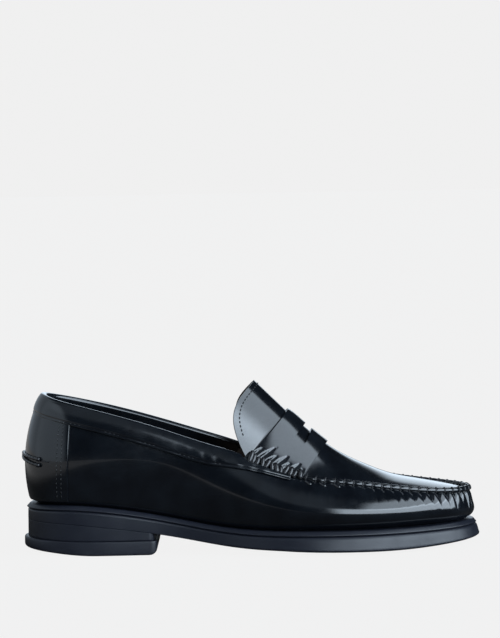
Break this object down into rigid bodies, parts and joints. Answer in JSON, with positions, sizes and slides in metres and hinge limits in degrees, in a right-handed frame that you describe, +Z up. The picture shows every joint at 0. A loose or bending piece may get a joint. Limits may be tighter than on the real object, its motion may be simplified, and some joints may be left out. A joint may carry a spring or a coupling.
{
  "type": "penny loafer",
  "caption": "High-shine leather slip-on shoe for the right foot with a moccasin apron, a slotted saddle strap, a folded collar and a low stacked heel.",
  "frame": {"origin": "on the ground, in the middle of the shoe's length and width", "axes": "+X from heel to toe, +Z up, +Y to the inner side of the right foot"},
  "size_m": [0.2966, 0.1022, 0.1083],
  "materials": {
    "upper_leather": "gloss",
    "lining_leather": "matte",
    "suede": "matte",
    "thread": "satin",
    "lace_cord": "gloss",
    "sole_rubber": "satin",
    "heel_stack": "satin",
    "top_piece_rubber": "matte",
    "nail_steel": "brushed",
    "shank_steel": "brushed",
    "cork": "matte",
    "fibre_board": "matte",
    "foam": "matte",
    "stiffener": "matte",
    "tape": "matte"
  },
  "bodies": {
    "root": {"vamp_wall": "upper_leather", "heel_cover": "upper_leather", "collar": "upper_leather", "apron": "upper_leather", "tongue": "upper_leather", "saddle_strap": "upper_leather", "apron_seam_roll": "upper_leather", "heel_counter": "stiffener", "toe_puff": "stiffener", "topline_tape": "tape", "quarter_lining_lateral": "lining_leather", "quarter_lining_medial": "lining_leather", "vamp_lining": "lining_leather", "apron_lining": "lining_leather", "tongue_lining": "lining_leather", "heel_grip": "suede", "midsole": "sole_rubber", "outsole": "sole_rubber", "heel_block": "heel_stack", "heel_top_piece": "top_piece_rubber", "heel_nails": "nail_steel", "shank": "shank_steel", "cork_filler": "cork", "insole_board": "fibre_board", "heel_cushion": "foam", "sock_liner": "lining_leather", "collar_stitching": "thread", "heel_cover_stitching": "thread", "tongue_stitching": "thread", "apron_seam_thread": "thread", "strap_whipstitch_lateral": "lace_cord", "strap_whipstitch_medial": "lace_cord", "back_tab_cords": "lace_cord"}
  },
  "joints": []
}
